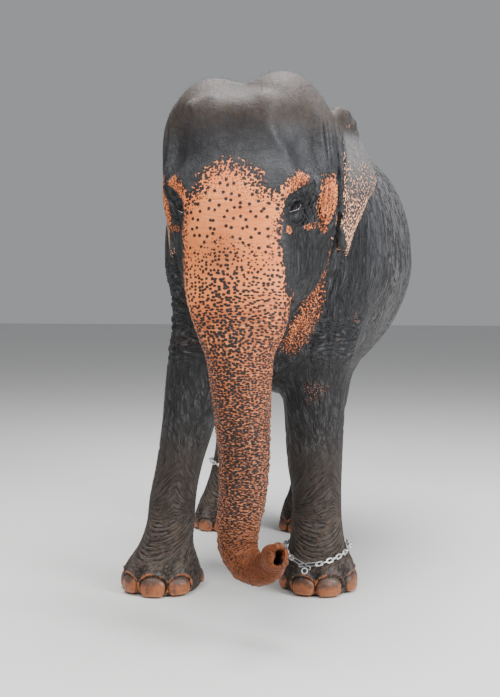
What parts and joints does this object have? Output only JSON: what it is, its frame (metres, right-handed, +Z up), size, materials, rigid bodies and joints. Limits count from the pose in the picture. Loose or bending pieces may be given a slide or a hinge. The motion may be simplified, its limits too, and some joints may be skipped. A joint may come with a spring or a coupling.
{
  "type": "asian elephant figure",
  "caption": "Life-size standing Asian elephant with a domed head, folded ears, a hanging trunk curled at the tip, pillar legs with nails, a tufted tail and steel chain rings on two legs.",
  "frame": {"origin": "middle of the box round the model, at the level of the soles", "axes": "+Z up; +Y towards the tail, so the animal faces -Y; +X towards its left side"},
  "size_m": [1.5249, 3.2295, 2.6084],
  "materials": {
    "skin": "matt, wrinkled",
    "trunk_skin": "matt, wrinkled and speckled",
    "nail": "satin",
    "eye": "wet gloss",
    "hair": "coarse hair",
    "chain": "zinc-plated, worn"
  },
  "bodies": {
    "root": {"chain_fore_left": "chain", "chain_hind_right": "chain", "ear_left": "skin", "ear_right": "skin", "eye_left": "eye", "eye_right": "eye", "foot_fore_left": "skin", "foot_fore_right": "skin", "foot_hind_left": "skin", "foot_hind_right": "skin", "head": "skin", "lower_jaw": "skin", "lower_leg_fore_left": "skin", "lower_leg_fore_right": "skin", "lower_leg_hind_left": "skin", "lower_leg_hind_right": "skin", "nail_fore_left_1": "nail", "nail_fore_left_2": "nail", "nail_fore_left_3": "nail", "nail_fore_left_4": "nail", "nail_fore_left_5": "nail", "nail_fore_right_1": "nail", "nail_fore_right_2": "nail", "nail_fore_right_3": "nail", "nail_fore_right_4": "nail", "nail_fore_right_5": "nail", "nail_hind_left_1": "nail", "nail_hind_left_2": "nail", "nail_hind_left_3": "nail", "nail_hind_left_4": "nail", "nail_hind_right_1": "nail", "nail_hind_right_2": "nail", "nail_hind_right_3": "nail", "nail_hind_right_4": "nail", "neck": "skin", "tail": "skin", "tail_tuft": "hair", "torso": "skin", "trunk_base": "trunk_skin", "trunk_lower": "trunk_skin", "trunk_middle": "trunk_skin", "trunk_tip": "trunk_skin", "upper_leg_fore_left": "skin", "upper_leg_fore_right": "skin", "upper_leg_hind_left": "skin", "upper_leg_hind_right": "skin"}
  },
  "joints": []
}
